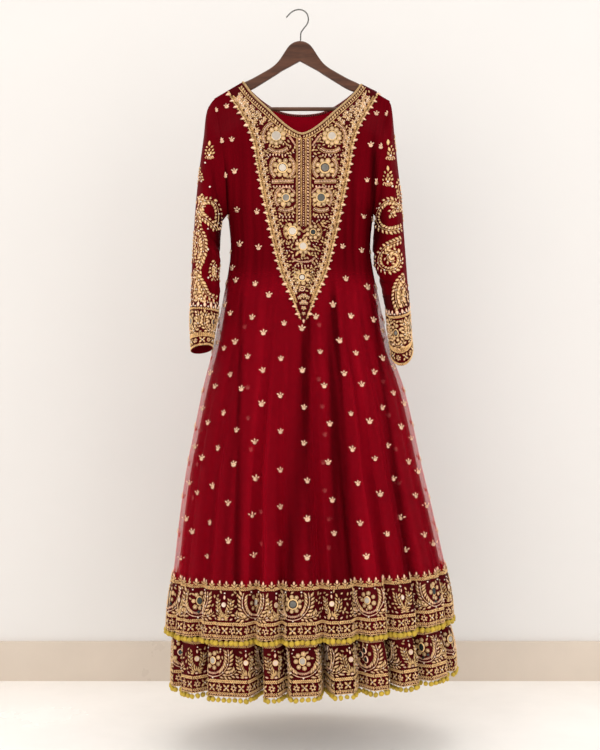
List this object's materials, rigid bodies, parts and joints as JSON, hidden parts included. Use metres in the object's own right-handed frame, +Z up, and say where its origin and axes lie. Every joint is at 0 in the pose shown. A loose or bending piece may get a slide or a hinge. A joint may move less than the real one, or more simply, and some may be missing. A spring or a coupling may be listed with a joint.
{
  "type": "anarkali gown on a hanger",
  "caption": "Long flared two-layer gown with long sleeves, an embroidered V yoke and pompom hems, on a wooden hanger with a wire hook.",
  "frame": {"origin": "underside of the hook's wire at its highest point, where the hanger hangs on a rod", "axes": "+Z up; the gown's front faces -Y; +X to the right in the front view, towards the gown's left sleeve"},
  "size_m": [0.6697, 0.4115, 1.5616],
  "materials": {
    "net": "sheer crimson net over crimson cloth",
    "lining": "smooth crimson cloth with a low sheen",
    "embroidery": "raised antique gold metal thread",
    "border": "maroon band with antique gold thread",
    "pompom": "matt mustard yarn",
    "mirror": "small round mirror glass",
    "wood": "dark brown satin lacquer",
    "bar": "dark brown satin lacquer",
    "steel": "bright wire"
  },
  "bodies": {
    "root": {"outer_front": "net", "outer_back": "net", "sleeve_right": "net", "sleeve_left": "net", "under_front": "lining", "under_back": "lining", "yoke": "embroidery", "placket": "embroidery", "neck_piping": "embroidery", "hem_border_front": "border", "hem_border_back": "border", "under_border_front": "border", "under_border_back": "border", "cuff_border_right": "border", "cuff_border_left": "border", "hem_pompoms_front": "pompom", "hem_pompoms_back": "pompom", "under_pompoms_front": "pompom", "under_pompoms_back": "pompom", "mirror_01": "mirror", "mirror_02": "mirror", "mirror_03": "mirror", "mirror_04": "mirror", "mirror_05": "mirror", "mirror_06": "mirror", "mirror_07": "mirror", "mirror_08": "mirror", "hanger_shoulders": "wood", "hanger_bar": "bar", "hanger_hook": "steel"}
  },
  "joints": []
}
